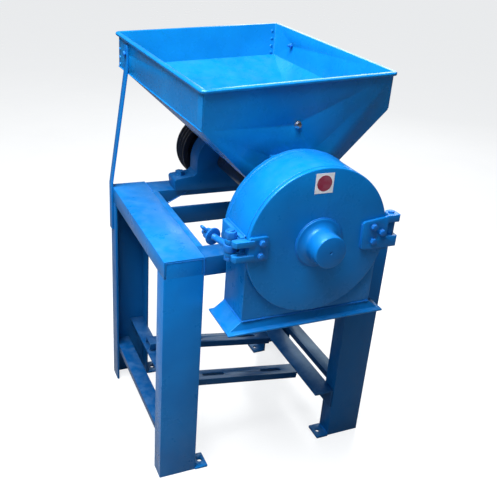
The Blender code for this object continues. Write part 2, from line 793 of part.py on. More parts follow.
# ---------------------------------------------------------------- rotor
shaft = turned(
    "rotor_shaft",
    [
        (0.0, -148.0), (12.5, -148.0), (14.0, -146.5), (14.0, -126.0), (SHAFT_END_R, -126.0),
        (SHAFT_END_R, -38.0), (SHAFT_R, -38.0), (SHAFT_R, 500.0), (SHAFT_END_R, 500.0),
        (SHAFT_END_R, 575.0), (SHAFT_END_R - 1.5, 576.5), (0.0, 576.5),
    ],
    "Y", (AX, 0, AZ), 32,
)
axis_point = (AX, 0.0, AZ)
finish(shaft, STEEL, axis_point)

pins = [
    (AX + PIN_CIRCLE * math.cos(math.radians(a)), AZ + PIN_CIRCLE * math.sin(math.radians(a)))
    for a in (45, 135, 225, 315)
]
front_disc = prism(
    "rotor_front_disc", circle(AX, AZ, DISC_R, 48), "Y", -124.0, -116.3,
    (circle(AX, AZ, SHAFT_END_R + 0.1, 32), *(circle(x, z, PIN_R + 0.3, 16) for x, z in pins)),
)
finish(front_disc, TOOL, axis_point)
rear_disc = prism(
    "rotor_rear_disc", circle(AX, AZ, DISC_R, 48), "Y", -50.0, -42.0,
    (circle(AX, AZ, SHAFT_END_R + 0.1, 32),),
)
hub = prism(
    "hub", circle(AX, AZ, HUB_R, 32), "Y", -116.0, -46.0, (circle(AX, AZ, SHAFT_END_R + 0.1, 32),)
)
rear_disc = fuse(rear_disc, hub)
for x, z in pins:
    rear_disc = fuse(rear_disc, rod("pin", PIN_R, "Y", (x, 0, z), -126.0, -43.0, 16))
finish(rear_disc, TOOL, axis_point)

for i, (x, z) in enumerate(pins, 1):
    half = HAMMER_W / 2
    outline = [
        (x - half, z - HAMMER_REACH), (x + half, z - HAMMER_REACH),
        (x + half, z + HAMMER_BACK - 6), (x + half - 6, z + HAMMER_BACK),
        (x - half + 6, z + HAMMER_BACK), (x - half, z + HAMMER_BACK - 6),
    ]
    hammer = prism(f"hammer_{i}", outline, "Y", *HAMMER_Y, (circle(x, z, PIN_R + 0.3, 16),))
    finish(hammer, TOOL, (x, -82.0, z), smooth=False)

lock = prism("rotor_nut", circle(AX, AZ, 23.0, 6), "Y", -144.0, -126.3, (circle(AX, AZ, 14.3, 24),))
finish(lock, STEEL, axis_point, smooth=False)

g0, g1 = PULLEY_Y
grooves = []
for k in range(3):
    mid = g0 + 12.5 + GROOVE_PITCH * k
    grooves += [
        (PULLEY_R, mid - 8.0), (PULLEY_R - 13.0, mid - 4.0), (PULLEY_R - 13.0, mid + 4.0), (PULLEY_R, mid + 8.0),
    ]
pulley = turned(
    "shaft_pulley",
    [(PULLEY_R, g0)] + grooves + [
        (PULLEY_R, g1), (82.0, g1), (80.0, g1 - 22), (44.0, g1 - 22), (42.0, g1),
        (SHAFT_END_R + RUNNING, g1), (SHAFT_END_R + RUNNING, g0), (42.0, g0), (44.0, g0 + 14), (80.0, g0 + 14), (82.0, g0),
    ],
    "Y", (AX, 0, AZ), 32,
)
finish(pulley, BLACK, axis_point)

foot0, foot1 = BLOCK_FOOT


def pillow_block(name, y0, y1):
    """Plummer-block housing: long foot with rounded ends, arched cap and the shaft bore."""
    base = FRAME_H + GAP
    outline = (
        [(foot0 + 4, base), (foot1 - 4, base)]
        + arc(foot1 - 8, BLOCK_FOOT_TOP - 14, 8.0, 0, 70, 4)
        + [(AX + BLOCK_R + 8, BLOCK_FOOT_TOP), (AX + BLOCK_R, BLOCK_FOOT_TOP + 8)]
        + arc(AX, AZ, BLOCK_R, 0, 180, 28)
        + [(AX - BLOCK_R, BLOCK_FOOT_TOP + 8), (AX - BLOCK_R - 8, BLOCK_FOOT_TOP)]
        + arc(foot0 + 8, BLOCK_FOOT_TOP - 14, 8.0, 110, 180, 4)
    )
    body = prism(name, outline, "Y", y0, y1, (circle(AX, AZ, SHAFT_R + BEARING_CLEARANCE, 32),))
    for x in (foot0 + 24, foot1 - 24):
        body = fuse(body, rod("nut", 13.0, "Z", (x, (y0 + y1) / 2, 0), BLOCK_FOOT_TOP - 12, BLOCK_FOOT_TOP + 9, 6))
    return finish(body, BLUE, angle=25)


pillow_block("front_pillow_block", 3.0, 57.0)
pillow_block("rear_pillow_block", 412.0, 472.0)

# ---------------------------------------------------------------- hopper
rx0, rx1, ry0, ry1 = RIM
ox0, ox1, oy0, oy1 = rx0 + WALL_IN, rx1 - WALL_IN, ry0 + WALL_IN, ry1 - WALL_IN
tx0, tx1, ty0, ty1 = TROUGH


def round_ring(x0, x1, y0, y1, r, z):
    return [(x, y, z) for x, y in rounded(x0, x1, y0, y1, r, 3)]


t = SHEET
hopper = loft(
    "hopper_bin",
    [
        round_ring(tx0, tx1, ty0, ty1, 1.5, TROUGH_Z),
        round_ring(ox0, ox1, oy0, oy1, 3.0, WALL_BOTTOM),
        round_ring(ox0, ox1, oy0, oy1, 3.0, RIM_TOP - RIM_DEPTH),
        round_ring(rx0 + 1, rx1 - 1, ry0 + 1, ry1 - 1, 12.0, RIM_TOP - RIM_DEPTH),
        round_ring(rx0, rx1, ry0, ry1, 13.0, RIM_TOP - RIM_DEPTH + 2),
        round_ring(rx0, rx1, ry0, ry1, 13.0, RIM_TOP - 2.5),
        round_ring(rx0 + 2.5, rx1 - 2.5, ry0 + 2.5, ry1 - 2.5, 11.0, RIM_TOP),
        round_ring(ox0 + t - 1, ox1 - t + 1, oy0 + t - 1, oy1 - t + 1, 4.0, RIM_TOP),
        round_ring(ox0 + t, ox1 - t, oy0 + t, oy1 - t, 3.0, RIM_TOP - 2),
        round_ring(ox0 + t, ox1 - t, oy0 + t, oy1 - t, 3.0, WALL_BOTTOM + 1),
        round_ring(tx0 + t, tx1 - t, ty0 + t, ty1 - t, 1.5, TROUGH_Z + t),
    ],
    cap_first=True, cap_last=True,
)
gx, gz = GATE_BOLT
hopper = cut(skewed(hopper), box("w", wx0, wx1, 5.0, 34.0, wz0, wz1))
hopper = cut(hopper, skewed(rod("h", 4.3, "Y", (gx, 0, gz), ty0 - 5, ty0 + 8, 16)))
stays = []
for side, top_z in zip(("left", "right"), STAY_TOP_Z):
    wall_x = ox0 if side == "left" else ox1
    local_y = (RIM[2] + RIM[3]) / 2 + (STAY_Y - (RIM[2] + RIM[3]) / 2) - HOPPER_YAW * (wall_x - (RIM[0] + RIM[1]) / 2)
    face = skew_matrix() @ world(wall_x, local_y, top_z)
    stays.append((side, face.x / MM + ORIGIN[0], top_z))
    hopper = cut(hopper, rod("h", 4.3, "X", (0, STAY_Y, top_z), stays[-1][1] - 9, stays[-1][1] + 9, 16))
finish(hopper, BLUE_LIGHT, angle=28)

gate_y = ty0 + t + GAP
gate_z = TROUGH_Z + t + 1.5
gate = prism(
    "feed_gate",
    [
        (gx - 62, gate_z), (gx + 72, gate_z), (gx + 72, wz1 + 20), (gx + 18, wz1 + 32),
        (gx + 18, gz + 20), (gx - 18, gz + 20), (gx - 18, wz1 + 32), (gx - 62, wz1 + 20),
    ],
    "Y", gate_y, gate_y + 2.5,
    (arc(gx, gz, 4.6, 0, 180, 8) + arc(gx, gz - 48.0, 4.6, 180, 360, 8),),
)
gate_point = skew_matrix() @ world(gx, gate_y, gate_z)
gate = finish(skewed(gate), BLUE_LIGHT, tuple(gate_point[i] / MM + ORIGIN[i] for i in range(3)))
gate_bolt = rod("gate_bolt", 9.0, "Y", (gx, 0, gz), ty0 - 1.9, ty0 - GAP, 24)
gate_bolt = fuse(
    gate_bolt,
    rod("head", 7.6, "Y", (gx, 0, gz), ty0 - 7.5, ty0 - 1.6, 6, 0.2),
    rod("shank", 4.0, "Y", (gx, 0, gz), ty0 - 2.0, ty0 + 18.0, 16),
    rod("nut", 7.6, "Y", (gx, 0, gz), gate_y + 2.8, gate_y + 9.0, 6, 0.5),
)
finish(skewed(gate_bolt), ZINC)


def bar(x0, y0, z, w=5.0, d=25.0, turn=0.0):
    """Cross-section of a flat bar, on the outer or inner side of x0, turned to lie along a wall."""
    c, sn = math.cos(turn), math.sin(turn)
    return [
        (x0 + c * a - sn * b, y0 + sn * a + c * b, z)
        for a, b in ((0, -d / 2), (w, -d / 2), (w, d / 2), (0, d / 2))
    ]


for side, face_x, top_z in stays:
    out = -1.0 if side == "left" else 1.0
    low_x = -5.0 - GAP if side == "left" else FRAME_W + GAP
    top_x = face_x - 5.0 - 0.6 if side == "left" else face_x + 0.6
    stay = loft(
        f"{side}_hopper_stay",
        [
            bar(low_x, 493.5, 525), bar(low_x, 493.5, 664),
            bar(top_x, STAY_Y, top_z - 36, turn=HOPPER_YAW), bar(top_x, STAY_Y, top_z + 22, turn=HOPPER_YAW),
        ],
        cap_first=True, cap_last=True,
    )
    stay = cut(stay, rod("h", 4.3, "X", (0, STAY_Y, top_z), top_x - 4, top_x + 9, 16))
    finish(stay, BLUE, smooth=False)
    outer = top_x if side == "left" else top_x + 5.0
    inner = face_x - out * t
    stay_bolt = rod(f"{side}_stay_bolt", 4.0, "X", (0, STAY_Y, top_z), *sorted((outer + out * 3, inner - out * 14)), 16)
    stay_bolt = fuse(
        stay_bolt,
        rod("head", 7.6, "X", (0, STAY_Y, top_z), *sorted((outer + out * 0.9, outer + out * 6.5)), 6),
        rod("nut", 7.6, "X", (0, STAY_Y, top_z), *sorted((inner - out * 0.9, inner - out * 7.5)), 6),
    )
    finish(stay_bolt, BLUE)
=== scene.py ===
"""Looks of the hammer mill: brushed-on azure enamel over castings, plate and sheet,
weld beads, rolled rim, rivets, wing nut, turned boss, pulley and sticker."""

import json
import math
import random

import bmesh
import bpy
from mathutils import Matrix, Vector, noise


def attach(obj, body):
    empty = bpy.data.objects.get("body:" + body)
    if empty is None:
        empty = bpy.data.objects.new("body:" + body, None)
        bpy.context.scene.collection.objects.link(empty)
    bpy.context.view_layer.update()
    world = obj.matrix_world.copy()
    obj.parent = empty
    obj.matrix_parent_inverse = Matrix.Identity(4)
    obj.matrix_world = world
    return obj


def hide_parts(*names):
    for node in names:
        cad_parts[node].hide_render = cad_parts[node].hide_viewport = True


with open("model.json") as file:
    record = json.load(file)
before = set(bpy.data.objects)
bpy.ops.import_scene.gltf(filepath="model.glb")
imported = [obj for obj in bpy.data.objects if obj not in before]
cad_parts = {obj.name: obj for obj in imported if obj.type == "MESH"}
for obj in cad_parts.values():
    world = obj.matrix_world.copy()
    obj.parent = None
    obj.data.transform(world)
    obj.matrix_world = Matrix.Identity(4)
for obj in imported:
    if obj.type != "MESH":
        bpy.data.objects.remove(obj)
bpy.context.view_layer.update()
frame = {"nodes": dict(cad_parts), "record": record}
NODES = frame["nodes"]
OX, OY = 0.310, 0.21305
AX, AZ = 0.313 - OX, 0.735
random.seed(7)


def at(x, y, z):
    """A machine point in millimetres, in the frame's metres."""
    return Vector((x / 1000 - OX, y / 1000 - OY, z / 1000))


# ------------------------------------------------------------------ camera
YAW, PITCH, ROLL, FOCAL = 25.63, -26.06, 4.57, 688.9
yaw, pitch, roll = (math.radians(v) for v in (YAW, PITCH, ROLL))
ahead = Vector((math.sin(yaw) * math.cos(pitch), math.cos(yaw) * math.cos(pitch), math.sin(pitch)))
side = Vector((math.cos(yaw), -math.sin(yaw), 0.0))
over = side.cross(ahead)
right = math.cos(roll) * side + math.sin(roll) * over
up = -math.sin(roll) * side + math.cos(roll) * over
eye = at(-431.1, -1337.7, 1384.9)
lens = bpy.data.cameras.new("view")
lens.sensor_fit = "HORIZONTAL"
lens.sensor_width = 36.0
lens.lens = FOCAL / 497 * 36.0
lens.clip_start = 0.05
camera = bpy.data.objects.new("view", lens)
bpy.context.scene.collection.objects.link(camera)
camera.matrix_world = Matrix(
    (
        (right.x, up.x, -ahead.x, eye.x),
        (right.y, up.y, -ahead.y, eye.y),
        (right.z, up.z, -ahead.z, eye.z),
        (0, 0, 0, 1),
    )
)
bpy.context.scene.camera = camera


# ------------------------------------------------------------------ materials
class Nodes:
    """Short hand for a node tree."""

    def __init__(self, name):
        self.mat = bpy.data.materials.new(name)
        self.mat.use_nodes = True
        self.tree = self.mat.node_tree
        self.shader = self.tree.nodes["Principled BSDF"]
        coord = self.tree.nodes.new("ShaderNodeTexCoord")
        self.place = coord.outputs["Object"]

    def link(self, a, b):
        self.tree.links.new(a, b)

    def noise(self, scale, detail=4.0, rough=0.55, stretch=None, distortion=0.0):
        node = self.tree.nodes.new("ShaderNodeTexNoise")
        node.inputs["Scale"].default_value = scale
        node.inputs["Detail"].default_value = detail
        node.inputs["Roughness"].default_value = rough
        node.inputs["Distortion"].default_value = distortion
        if stretch:
            mapping = self.tree.nodes.new("ShaderNodeMapping")
            mapping.inputs["Scale"].default_value = stretch
            self.link(self.place, mapping.inputs["Vector"])
            self.link(mapping.outputs["Vector"], node.inputs["Vector"])
        else:
            self.link(self.place, node.inputs["Vector"])
        return node.outputs["Fac"]

    def ramp(self, source, low_at, high_at, low_v=0.0, high_v=1.0):
        node = self.tree.nodes.new("ShaderNodeMapRange")
        node.inputs["From Min"].default_value = low_at
        node.inputs["From Max"].default_value = high_at
        node.inputs["To Min"].default_value = low_v
        node.inputs["To Max"].default_value = high_v
        self.link(source, node.inputs["Value"])
        return node.outputs["Result"]

    def math(self, kind, a, b):
        node = self.tree.nodes.new("ShaderNodeMath")
        node.operation = kind
        node.use_clamp = kind in ("MULTIPLY", "ADD", "MAXIMUM")
        for i, v in enumerate((a, b)):
            if isinstance(v, (int, float)):
                node.inputs[i].default_value = v
            else:
                self.link(v, node.inputs[i])
        return node.outputs[0]

    def mix(self, factor, a, b):
        node = self.tree.nodes.new("ShaderNodeMix")
        node.data_type = "RGBA"
        ins = [s for s in node.inputs if s.type == "RGBA"]
        self.link(factor, node.inputs[0])
        for socket, v in zip(ins, (a, b)):
            if isinstance(v, tuple):
                socket.default_value = (*v, 1.0)
            else:
                self.link(v, socket)
        return [s for s in node.outputs if s.type == "RGBA"][0]

    def up_facing(self, start=0.5, end=1.0):
        geo = self.tree.nodes.new("ShaderNodeNewGeometry")
        sep = self.tree.nodes.new("ShaderNodeSeparateXYZ")
        self.link(geo.outputs["Normal"], sep.inputs[0])
        return self.ramp(sep.outputs["Z"], start, end)

    def edges(self, radius=0.0022):
        """1 along the outer edges of a piece, where a brush coat wears."""
        bevel = self.tree.nodes.new("ShaderNodeBevel")
        bevel.samples = 4
        bevel.inputs["Radius"].default_value = radius
        geo = self.tree.nodes.new("ShaderNodeNewGeometry")
        dot = self.tree.nodes.new("ShaderNodeVectorMath")
        dot.operation = "DOT_PRODUCT"
        self.link(bevel.outputs[0], dot.inputs[0])
        self.link(geo.outputs["Normal"], dot.inputs[1])
        return self.ramp(dot.outputs["Value"], 0.985, 0.9)

    def bump(self, *layers):
        last = None
        for source, distance in layers:
            node = self.tree.nodes.new("ShaderNodeBump")
            node.inputs["Strength"].default_value = 1.0
            node.inputs["Distance"].default_value = distance
            self.link(source, node.inputs["Height"])
            if last is not None:
                self.link(last, node.inputs["Normal"])
            last = node.outputs["Normal"]
        self.link(last, self.shader.inputs["Normal"])


def enamel(name, colour, rough=0.3, cast=0.0, wave=0.0, dust=0.25, coat=0.07, wear=0.5):
    n = Nodes(name)
    r, g, b = colour
    broad = n.noise(5.0, 3.0, 0.6)
    tone = n.mix(n.ramp(broad, 0.3, 0.7), (r * 0.72, g * 0.84, b * 0.88), (r * 1.25, g * 1.12, b * 1.08))
    streak = n.noise(26.0, 5.0, 0.6, (1.0, 1.0, 0.12), 0.4)
    tone = n.mix(n.ramp(streak, 0.56, 0.78, 0.0, 0.22), tone, (r * 0.45 + 0.002, g * 0.6, b * 0.66))
    fleck = n.noise(160.0, 3.0, 0.7)
    tone = n.mix(n.ramp(fleck, 0.66, 0.74, 0.0, 0.3), tone, (0.02, 0.05, 0.11))
    film = n.math("MULTIPLY", n.up_facing(0.55, 0.98), n.ramp(n.noise(34.0, 6.0, 0.65), 0.42, 0.72))
    film = n.math("MULTIPLY", film, dust * 0.35)
    tone = n.mix(film, tone, (0.2, 0.34, 0.5))
    rub = n.math("MULTIPLY", n.edges(), n.ramp(n.noise(55.0, 5.0, 0.7), 0.5, 0.72))
    rub = n.math("MULTIPLY", rub, wear * 0.6)
    tone = n.mix(rub, tone, (0.2, 0.33, 0.46))
    n.link(tone, n.shader.inputs["Base Color"])
    gloss = n.ramp(n.noise(18.0, 5.0, 0.6), 0.3, 0.7, rough - 0.06, rough + 0.1)
    gloss = n.math("ADD", gloss, n.math("MULTIPLY", film, 0.5))
    n.link(gloss, n.shader.inputs["Roughness"])
    n.shader.inputs["Coat Weight"].default_value = coat
    n.shader.inputs["Coat Roughness"].default_value = 0.16
    n.shader.inputs["Coat Tint"].default_value = (0.72, 0.9, 1.0, 1.0)
    n.shader.inputs["Specular Tint"].default_value = (0.25, 0.72, 1.0, 1.0)
    layers = [(n.noise(520.0, 2.0, 0.5), 0.00012)]
    if cast:
        layers.append((n.noise(190.0, 5.0, 0.6), cast))
    if wave:
        layers.append((n.noise(9.0, 2.0, 0.4), wave))
    n.bump(*layers)
    return n.mat


BLUE = (0.002, 0.138, 0.46)
PLATE = enamel("enamel_on_plate", (0.002, 0.132, 0.43), 0.3, 0.0001, 0.0016, 0.3)
SHEET = enamel("enamel_on_sheet", (0.002, 0.16, 0.46), 0.26, 0.0, 0.004, 0.2)
DRUM = enamel("enamel_on_drum", (0.002, 0.155, 0.49), 0.28, 0.00012, 0.0022, 0.15)
CAST = enamel("enamel_on_casting", BLUE, 0.34, 0.0004, 0.001, 0.3)
# painted shade: a much darker copy of the azure enamel, standing in for the deep shade on the low rails, motor angles
# and middle cross bar
PAINTED_SHADE_DEEP = enamel("enamel_painted_deep_shade", (0.0012, 0.05, 0.18), 0.34, 0.0003, 0.0016, 0.35)
# painted shade: a darker copy of the azure enamel, standing in for the shade under the hopper and casing, on the
# pillow blocks, rear frame and right front leg
PAINTED_SHADE_REAR = enamel("enamel_painted_shade", (0.0015, 0.085, 0.29), 0.33, 0.0003, 0.0016, 0.35)
BOLT = enamel("enamel_on_bolts", (0.008, 0.13, 0.48), 0.32, 0.0003, 0.0, 0.2, wear=0.9)
BEAD = enamel("enamel_on_welds", (0.006, 0.13, 0.5), 0.3, 0.0003, 0.0, 0.15)


def iron(name, colour, rough, metal, cast, ring=0.0):
    n = Nodes(name)
    r, g, b = colour
    tone = n.mix(n.ramp(n.noise(14.0, 5.0, 0.6), 0.3, 0.7), (r * 0.7, g * 0.7, b * 0.72), (r * 1.3, g * 1.3, b * 1.3))
    tone = n.mix(
        n.math("MULTIPLY", n.edges(), n.ramp(n.noise(70.0, 4.0), 0.45, 0.7)), tone,
        (min(1, r * 2 + 0.08), min(1, g * 2 + 0.08), min(1, b * 2 + 0.09)),
    )
    n.link(tone, n.shader.inputs["Base Color"])
    n.link(n.ramp(n.noise(30.0, 4.0), 0.3, 0.7, rough - 0.07, rough + 0.1), n.shader.inputs["Roughness"])
    n.shader.inputs["Metallic"].default_value = metal
    layers = [(n.noise(330.0, 4.0, 0.6), cast)]
    if ring:
        layers.append((n.noise(900.0, 1.0, 0.5, (0.08, 3.0, 0.08)), ring))
    n.bump(*layers)
    return n.mat


PULLEY = iron("black_pulley", (0.012, 0.014, 0.022), 0.36, 0.0, 0.0003)
SHAFT = iron("turned_shaft", (0.05, 0.075, 0.12), 0.34, 0.75, 0.00006, 0.0001)
STEEL = iron("bright_steel", (0.42, 0.43, 0.45), 0.34, 1.0, 0.0001, 0.0001)
ZINC = iron("zinc_bolt", (0.6, 0.63, 0.66), 0.28, 1.0, 0.00012)
TOOL = iron("hammer_steel", (0.16, 0.15, 0.145), 0.46, 1.0, 0.0005)


def paper(name, colour, worn):
    n = Nodes(name)
    tone = n.mix(n.ramp(n.noise(40.0, 5.0, 0.6), 0.35, 0.7, 0.0, worn), colour, (0.36, 0.42, 0.5))
    tone = n.mix(n.ramp(n.noise(300.0, 3.0, 0.6), 0.62, 0.72, 0.0, 0.35), tone, (0.3, 0.2, 0.24))
    n.link(tone, n.shader.inputs["Base Color"])
    n.link(n.ramp(n.noise(60.0, 3.0), 0.3, 0.7, 0.3, 0.46), n.shader.inputs["Roughness"])
    n.bump((n.noise(420.0, 3.0, 0.6), 0.00006), (n.noise(30.0, 3.0, 0.5), 0.0003))
    return n.mat


WHITE = paper("sticker_white", (0.78, 0.79, 0.84), 0.3)
RED = paper("sticker_red", (0.24, 0.012, 0.045), 0.16)

MATERIAL = {
    "hopper_bin": SHEET, "feed_gate": SHEET, "casing_shell": DRUM, "casing_back_plate": DRUM,
    "door_plate": DRUM, "discharge_skirt": PLATE, "door_boss": CAST,
    # painted shade: the pillow blocks under the hopper take the shaded copy of the enamel
    "front_pillow_block": PAINTED_SHADE_REAR, "rear_pillow_block": PAINTED_SHADE_REAR, "hinge_bracket": CAST,
    "latch_bracket": CAST, "casing_latch_lug": CAST, "casing_hinge_knuckle": CAST,
    "swing_bolt": BOLT, "wing_nut": BOLT, "clamp_washer": BOLT, "latch_pivot_bolt": BOLT,
    "left_stay_bolt": BOLT, "right_stay_bolt": BOLT, "gate_bolt": ZINC,
    "hinge_pin": BOLT, "shaft_pulley": PULLEY, "rotor_shaft": SHAFT, "rotor_nut": STEEL,
    "rotor_front_disc": TOOL, "rotor_rear_disc": TOOL, "sizing_screen": STEEL,
}
# painted shade: the low rails, motor angles and middle cross bar take the darkest shaded copy of the enamel
for node in ("left_outer_rail", "right_outer_rail", "left_motor_angle", "right_motor_angle", "front_motor_rail",
             "rear_motor_rail", "middle_cross_bar"):
    MATERIAL[node] = PAINTED_SHADE_DEEP
# painted shade: the rear legs and feet, rear cross member, right front leg and foot and front cross member take the
# shaded copy of the enamel
for node in ("left_rear_leg", "right_rear_leg", "left_rear_foot", "right_rear_foot", "rear_cross_member",
             "right_front_leg", "right_front_foot", "front_cross_member"):
    MATERIAL[node] = PAINTED_SHADE_REAR
for i in (1, 2, 3):
    MATERIAL[f"hinge_bolt_{i}"] = BOLT
for i in (1, 2):
    MATERIAL[f"latch_bolt_{i}"] = BOLT
for i in (1, 2, 3, 4):
    MATERIAL[f"hammer_{i}"] = TOOL
BODY = {n: b for b, ns in frame["record"]["behaviour"]["bodies"].items() for n in ns}

# edge radius, in millimetres, of each kind of piece
RADIUS = {"hopper_bin": 1.2, "discharge_skirt": 1.2, "feed_gate": 0.5, "gate_bolt": 0.5, "sizing_screen": 0.4,
          "casing_shell": 1.0, "casing_back_plate": 1.0, "door_plate": 1.6, "hinge_bracket": 2.2,
          "latch_bracket": 2.0, "casing_latch_lug": 2.0, "casing_hinge_knuckle": 2.0,
          "front_pillow_block": 4.0, "rear_pillow_block": 4.0, "shaft_pulley": 0.8,
          "clamp_washer": 0.8, "door_boss": 1.2, "rotor_shaft": 0.8, "wing_nut": 1.4}


def take(obj, body, mat, node=None):
    obj.data.materials.clear()
    obj.data.materials.append(mat)
    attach(obj, body)
    if node:
        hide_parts(node)
    return obj


def link_mesh(name, bm, angle=34.0):
    bmesh.ops.recalc_face_normals(bm, faces=bm.faces)
    mesh = bpy.data.meshes.new(name)
    bm.to_mesh(mesh)
    bm.free()
    mesh.shade_smooth()
    mesh.set_sharp_from_angle(angle=math.radians(angle))
    obj = bpy.data.objects.new(name, mesh)
    bpy.context.scene.collection.objects.link(obj)
    return obj


def softened(node, width, segments=2):
    """The node's own shape with its sharp edges rounded over."""
    bm = bmesh.new()
    bm.from_mesh(NODES[node].data)
    bmesh.ops.remove_doubles(bm, verts=bm.verts, dist=2e-6)
    bmesh.ops.dissolve_limit(
        bm, angle_limit=math.radians(0.6), verts=bm.verts, edges=bm.edges, use_dissolve_boundaries=False
    )
    obj = link_mesh(node + "_detail", bm, 180.0)
    mod = obj.modifiers.new("edges", "BEVEL")
    mod.width = width / 1000
    mod.segments = segments
    mod.limit_method = "ANGLE"
    mod.angle_limit = math.radians(36)
    mod.use_clamp_overlap = True
    mod.harden_normals = False
    mod.miter_outer = "MITER_ARC"
    bpy.context.view_layer.update()
    graph = bpy.context.evaluated_depsgraph_get()
    mesh = bpy.data.meshes.new_from_object(obj.evaluated_get(graph))
    mesh.shade_smooth()
    mesh.set_sharp_from_angle(angle=math.radians(34))
    obj.modifiers.clear()
    obj.data = mesh
    return obj


REBUILT = {"door_boss", "wing_nut", "shaft_pulley", "door_plate"}
for node in NODES:
    if node in REBUILT:
        continue
    take(softened(node, RADIUS.get(node, 1.0)), BODY[node], MATERIAL.get(node, PLATE), node)


def lathe(name, profile, steps, centre, smooth=32.0):
    """Turned about the rotor's axis. The profile is (radius, station) in millimetres."""
    bm = bmesh.new()
    rings = []
    for r, s in profile:
        if r < 1e-6:
            rings.append([bm.verts.new(Vector((centre[0], s / 1000 - OY, centre[1])))])
            continue
        rings.append([
            bm.verts.new(Vector((
                centre[0] + r / 1000 * math.cos(2 * math.pi * k / steps), s / 1000 - OY,
                centre[1] + r / 1000 * math.sin(2 * math.pi * k / steps),
            )))
            for k in range(steps)
        ])
    pairs = list(zip(rings, rings[1:]))
    if len(rings[0]) > 1 and len(rings[-1]) > 1:
        pairs.append((rings[-1], rings[0]))
    for a, b in pairs:
        for k in range(steps):
            j = (k + 1) % steps
            if len(a) == 1:
                bm.faces.new((a[0], b[k], b[j]))
            elif len(b) == 1:
                bm.faces.new((a[k], a[j], b[0]))
            else:
                bm.faces.new((a[k], a[j], b[j], b[k]))
    return link_mesh(name, bm, smooth)


# door boss: cast base ring, concave flare and turned nose with a centre-punch mark
flare = [(58 - 18 * math.sin(math.radians(a)), -150.2 - 16.5 * (1 - math.cos(math.radians(a)))) for a in range(0, 91, 9)]
boss = lathe(
    "door_boss_detail",
    [(0.0, -199.6), (1.6, -200.2), (3.4, -202.4), (35.4, -202.5), (36.9, -202.0), (38.0, -200.4), (38.0, -168.0)]
    + [(r - 2.0, s) for r, s in flare[::-1]]
    + [(57.4, -149.6), (58.0, -148.6), (58.0, -146.3), (28.0, -146.3), (28.0, -180.5), (0.0, -180.5)],
    96, (AX, AZ), 40,
)
take(boss, "door", CAST, "door_boss")

# pulley: rim, V-grooves, dished web and hub
groove = []
for k in range(3):
    mid = 507 + 12.5 + 19 * k
    groove += [(97.4, mid - 8.6), (98.0, mid - 8.3)][::1] if k else [(97.4, mid - 12.5), (98.0, mid - 11.9), (98.0, mid - 8.6)]
    groove += [(97.3, mid - 7.8), (85.6, mid - 4.3), (85.0, mid - 3.6), (85.0, mid + 3.6), (85.6, mid + 4.3), (97.3, mid + 7.8), (98.0, mid + 8.6)]
pulley = lathe(
    "shaft_pulley_detail",
    groove + [(98.0, 569.2), (97.2, 570.0), (83.0, 570.0), (82.0, 569.0), (80.5, 549.6), (79.0, 548.0),
              (45.6, 548.0), (44.0, 549.4), (42.6, 569.2), (41.6, 570.0), (22.2, 570.0), (22.2, 507.0), (41.6, 507.0),
              (42.6, 507.8), (44.0, 519.6), (45.4, 521.0), (79.0, 521.0), (80.4, 519.8), (82.0, 508.0), (83.0, 507.0)],
    96, (AX, AZ), 30,
)
take(pulley, "rotor", PULLEY, "shaft_pulley")

# door: a slightly dished plate with a rounded rim
door = lathe(
    "door_plate_detail",
    [(30.0, -145.8), (60.0, -145.85), (120.0, -145.95), (172.6, -146.0), (174.6, -145.5), (175.7, -144.3), (176.0, -142.6),
     (176.0, -136.4), (175.6, -135.0), (174.4, -134.2), (172.8, -134.0), (30.0, -134.0)],
    144, (AX, AZ), 50,
)
take(door, "door", DRUM, "door_plate")


# ------------------------------------------------------------------ small pieces in mesh code
def weld(name, points, radius, body, closed=False, seed=1, mat=None):
    """A rippled weld bead along a line of points, in metres."""
    step = radius * 0.55
    line = []
    runs = list(zip(points, points[1:])) + ([(points[-1], points[0])] if closed else [])
    for a, b in runs:
        count = max(1, int((b - a).length / step))
        line += [a.lerp(b, i / count) for i in range(count)]
    if not closed:
        line.append(points[-1])
    bm = bmesh.new()
    rings = []
    total = len(line)
    for i, p in enumerate(line):
        after = line[(i + 1) % total] if closed or i + 1 < total else p + (p - line[i - 1])
        prior = line[i - 1] if closed or i else p - (after - p)
        tangent = (after - prior).normalized()
        a = tangent.orthogonal().normalized() if abs(tangent.z) > 0.95 else tangent.cross(Vector((0, 0, 1))).normalized()
        b = tangent.cross(a)
        size = radius * (0.84 + 0.2 * abs(math.sin(i * 0.9)) + 0.22 * noise.noise(p * 90 + Vector((seed, 0, 0))))
        if not closed:
            size *= min(1.0, 0.35 + min(i, total - 1 - i) * 0.3)
        rings.append([bm.verts.new(p + size * (math.cos(t) * a + math.sin(t) * b))
                      for t in [k * math.pi / 4 for k in range(8)]])
    pairs = list(zip(rings, rings[1:])) + ([(rings[-1], rings[0])] if closed else [])
    for one, two in pairs:
        for k in range(8):
            j = (k + 1) % 8
            bm.faces.new((one[k], one[j], two[j], two[k]))
    if not closed:
        bm.faces.new(rings[0])
        bm.faces.new(rings[-1])
    return take(link_mesh(name, bm, 60), body, mat or BEAD)


def ring_points(r, y, first=0, last=360, count=90, cx=313.0, cz=735.0):
    return [at(cx + r * math.cos(math.radians(first + (last - first) * i / count)), y,
               cz + r * math.sin(math.radians(first + (last - first) * i / count))) for i in range(count + 1)]


